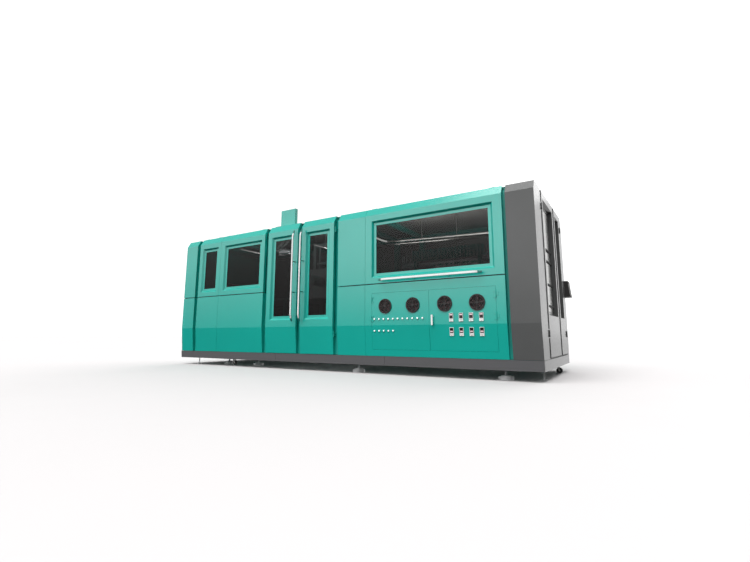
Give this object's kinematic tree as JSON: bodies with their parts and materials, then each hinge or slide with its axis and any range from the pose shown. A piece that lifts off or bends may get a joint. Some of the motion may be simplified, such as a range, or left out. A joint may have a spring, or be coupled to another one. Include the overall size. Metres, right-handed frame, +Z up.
{
  "type": "blow moulding machine",
  "caption": "Long boxed blow moulding machine with windowed doors and lift-up flaps, a control cabinet, a grey end section and a clamp and oven inside.",
  "frame": {"origin": "on the floor, below the middle of the machine's whole outline seen from above", "axes": "+X along the machine towards its grey end section, +Y from the operator's side to the rear, +Z up from the floor"},
  "size_m": [6.065, 2.192, 2.455],
  "materials": {
    "teal_paint": "satin",
    "grey_paint": "satin",
    "frame_paint": "matt",
    "white_paint": "satin",
    "tinted_glass": "gloss",
    "machined_steel": "machined",
    "mould_aluminium": "machined",
    "zinc_steel": "zinc plated",
    "hinge_paint": "satin",
    "black_plastic": "matt",
    "rotor_plastic": "matt",
    "lamp_lens": "gloss",
    "controller_plastic": "matt",
    "foot_metal": "satin",
    "caster_rubber": "matt",
    "bank_paint": "matt",
    "chain_steel": "oiled"
  },
  "bodies": {
    "housing": {"base_frame": "frame_paint", "machine_bed": "machined_steel", "skirt_panels": "grey_paint", "upper_frame": "frame_paint", "roof_sheets": "teal_paint", "roof_box": "teal_paint", "left_corner_covers": "teal_paint", "left_end_panel": "teal_paint", "lower_left_panels": "teal_paint", "fixed_panels": "teal_paint", "control_fascia": "teal_paint", "cabinet_box": "frame_paint", "end_section_covers": "grey_paint", "rear_covers": "teal_paint", "levelling_feet": "foot_metal", "frame_hinges": "hinge_paint", "console_arm": "zinc_steel", "clamp_frame": "machined_steel", "lamp_banks": "bank_paint", "preform_chain": "chain_steel"},
    "left_door": {"left_door": "teal_paint", "left_door_glass": "tinted_glass", "left_door_handle": "white_paint"},
    "right_door": {"right_door": "teal_paint", "right_door_glass": "tinted_glass", "right_door_handle": "white_paint"},
    "narrow_flap": {"narrow_flap": "teal_paint", "narrow_flap_glass": "tinted_glass"},
    "wide_flap": {"wide_flap": "teal_paint", "wide_flap_glass": "tinted_glass"},
    "oven_flap": {"oven_flap": "teal_paint", "oven_flap_glass": "tinted_glass", "oven_flap_handle": "white_paint"},
    "cabinet_left": {"cabinet_door_left": "teal_paint", "fan_housings_left": "black_plastic", "indicator_lamps": "lamp_lens"},
    "cabinet_right": {"cabinet_door_right": "teal_paint", "fan_housings_right": "black_plastic", "temperature_controllers": "controller_plastic"},
    "latch": {"latch_handle": "white_paint"},
    "fan_1": {"fan_rotor_1": "rotor_plastic"},
    "fan_2": {"fan_rotor_2": "rotor_plastic"},
    "fan_3": {"fan_rotor_3": "rotor_plastic"},
    "fan_4": {"fan_rotor_4": "rotor_plastic"},
    "end_door_front": {"end_door_front": "grey_paint", "end_door_front_glass": "tinted_glass"},
    "end_door_rear": {"end_door_rear": "grey_paint", "end_door_rear_glass": "tinted_glass"},
    "console": {"console": "black_plastic"},
    "front_platen": {"front_platen": "mould_aluminium"},
    "rear_platen": {"rear_platen": "mould_aluminium"},
    "blow_head": {"blow_head": "mould_aluminium"},
    "stretch_rods": {"stretch_rods": "machined_steel"},
    "drive_sprocket": {"drive_sprocket": "machined_steel"},
    "idler_sprocket": {"idler_sprocket": "machined_steel"},
    "transfer_carriage": {"transfer_carriage": "machined_steel"},
    "front_caster_fork": {"caster_fork_front": "zinc_steel"},
    "front_caster_wheel": {"caster_wheel_front": "caster_rubber"},
    "rear_caster_fork": {"caster_fork_rear": "zinc_steel"},
    "rear_caster_wheel": {"caster_wheel_rear": "caster_rubber"}
  },
  "joints": [
    {"name": "left_door_swing", "type": "hinge", "parent": "housing", "child": "left_door", "pos_m": [-0.9825, -0.994, 1.2], "axis": [0, 0, -1], "range_deg": [0, 95]},
    {"name": "right_door_swing", "type": "hinge", "parent": "housing", "child": "right_door", "pos_m": [0.3025, -0.994, 1.2], "axis": [0, 0, 1], "range_deg": [0, 95]},
    {"name": "narrow_flap_lift", "type": "hinge", "parent": "housing", "child": "narrow_flap", "pos_m": [-2.3665, -0.9175, 2.1573], "axis": [-1, 0, 0], "range_deg": [0, 80]},
    {"name": "wide_flap_lift", "type": "hinge", "parent": "housing", "child": "wide_flap", "pos_m": [-1.5725, -0.9175, 2.1573], "axis": [-1, 0, 0], "range_deg": [0, 80]},
    {"name": "oven_flap_lift", "type": "hinge", "parent": "housing", "child": "oven_flap", "pos_m": [1.7195, -0.9175, 2.1573], "axis": [-1, 0, 0], "range_deg": [0, 80]},
    {"name": "cabinet_left_swing", "type": "hinge", "parent": "housing", "child": "cabinet_left", "pos_m": [0.9225, -1.02, 0.66], "axis": [0, 0, -1], "range_deg": [0, 110]},
    {"name": "cabinet_right_swing", "type": "hinge", "parent": "housing", "child": "cabinet_right", "pos_m": [2.5145, -1.02, 0.66], "axis": [0, 0, 1], "range_deg": [0, 110]},
    {"name": "latch_turn", "type": "hinge", "parent": "cabinet_right", "child": "latch", "pos_m": [1.7645, -1.014, 0.702], "axis": [0, -1, 0], "range_deg": [0, 90]},
    {"name": "fan_1_spin", "type": "hinge", "parent": "cabinet_left", "child": "fan_1", "pos_m": [1.12187, -1.014, 0.84536], "axis": [0, -1, 0], "continuous": true},
    {"name": "fan_2_spin", "type": "hinge", "parent": "cabinet_left", "child": "fan_2", "pos_m": [1.50672, -1.014, 0.84536], "axis": [0, -1, 0], "continuous": true},
    {"name": "fan_3_spin", "type": "hinge", "parent": "cabinet_right", "child": "fan_3", "pos_m": [1.91837, -1.014, 0.84536], "axis": [0, -1, 0], "continuous": true},
    {"name": "fan_4_spin", "type": "hinge", "parent": "cabinet_right", "child": "fan_4", "pos_m": [2.30322, -1.014, 0.84536], "axis": [0, -1, 0], "continuous": true},
    {"name": "end_door_front_swing", "type": "hinge", "parent": "housing", "child": "end_door_front", "pos_m": [2.9735, -0.6125, 1.2], "axis": [0, 0, -1], "range_deg": [0, 100]},
    {"name": "end_door_rear_swing", "type": "hinge", "parent": "housing", "child": "end_door_rear", "pos_m": [2.9735, 0.7375, 1.2], "axis": [0, 0, 1], "range_deg": [0, 90]},
    {"name": "console_swivel", "type": "hinge", "parent": "housing", "child": "console", "pos_m": [2.9125, 0.931, 1.135], "axis": [0, 0, 1], "range_deg": [-10, 100]},
    {"name": "front_platen_slide", "type": "slide", "parent": "housing", "child": "front_platen", "axis": [0, -1, 0], "range_m": [0, 0.12]},
    {"name": "rear_platen_slide", "type": "slide", "parent": "housing", "child": "rear_platen", "axis": [0, 1, 0], "range_m": [0, 0.12]},
    {"name": "blow_head_lift", "type": "slide", "parent": "housing", "child": "blow_head", "axis": [0, 0, 1], "range_m": [0, 0.06]},
    {"name": "stretch_rod_lift", "type": "slide", "parent": "housing", "child": "stretch_rods", "axis": [0, 0, 1], "range_m": [0, 0.25]},
    {"name": "drive_sprocket_spin", "type": "hinge", "parent": "housing", "child": "drive_sprocket", "pos_m": [1.1475, -0.104, 1.49], "axis": [0, 0, 1], "continuous": true},
    {"name": "idler_sprocket_spin", "type": "hinge", "parent": "housing", "child": "idler_sprocket", "pos_m": [2.2975, -0.104, 1.49], "axis": [0, 0, 1], "continuous": true},
    {"name": "transfer_slide", "type": "slide", "parent": "housing", "child": "transfer_carriage", "axis": [1, 0, 0], "range_m": [0, 0.9]},
    {"name": "front_caster_swivel", "type": "hinge", "parent": "housing", "child": "front_caster_fork", "pos_m": [-1.9425, -0.744, 0.11], "axis": [0, 0, 1], "continuous": true},
    {"name": "front_caster_roll", "type": "hinge", "parent": "front_caster_fork", "child": "front_caster_wheel", "pos_m": [-1.9145, -0.744, 0.0415], "axis": [0, 1, 0], "continuous": true},
    {"name": "rear_caster_swivel", "type": "hinge", "parent": "housing", "child": "rear_caster_fork", "pos_m": [2.8815, 0.326, 0.11], "axis": [0, 0, 1], "continuous": true},
    {"name": "rear_caster_roll", "type": "hinge", "parent": "rear_caster_fork", "child": "rear_caster_wheel", "pos_m": [2.9095, 0.326, 0.0415], "axis": [0, 1, 0], "continuous": true}
  ],
  "couplings": [
    {"joint": "rear_platen_slide", "follows": "front_platen_slide", "ratio": 1},
    {"joint": "idler_sprocket_spin", "follows": "drive_sprocket_spin", "ratio": 1}
  ]
}
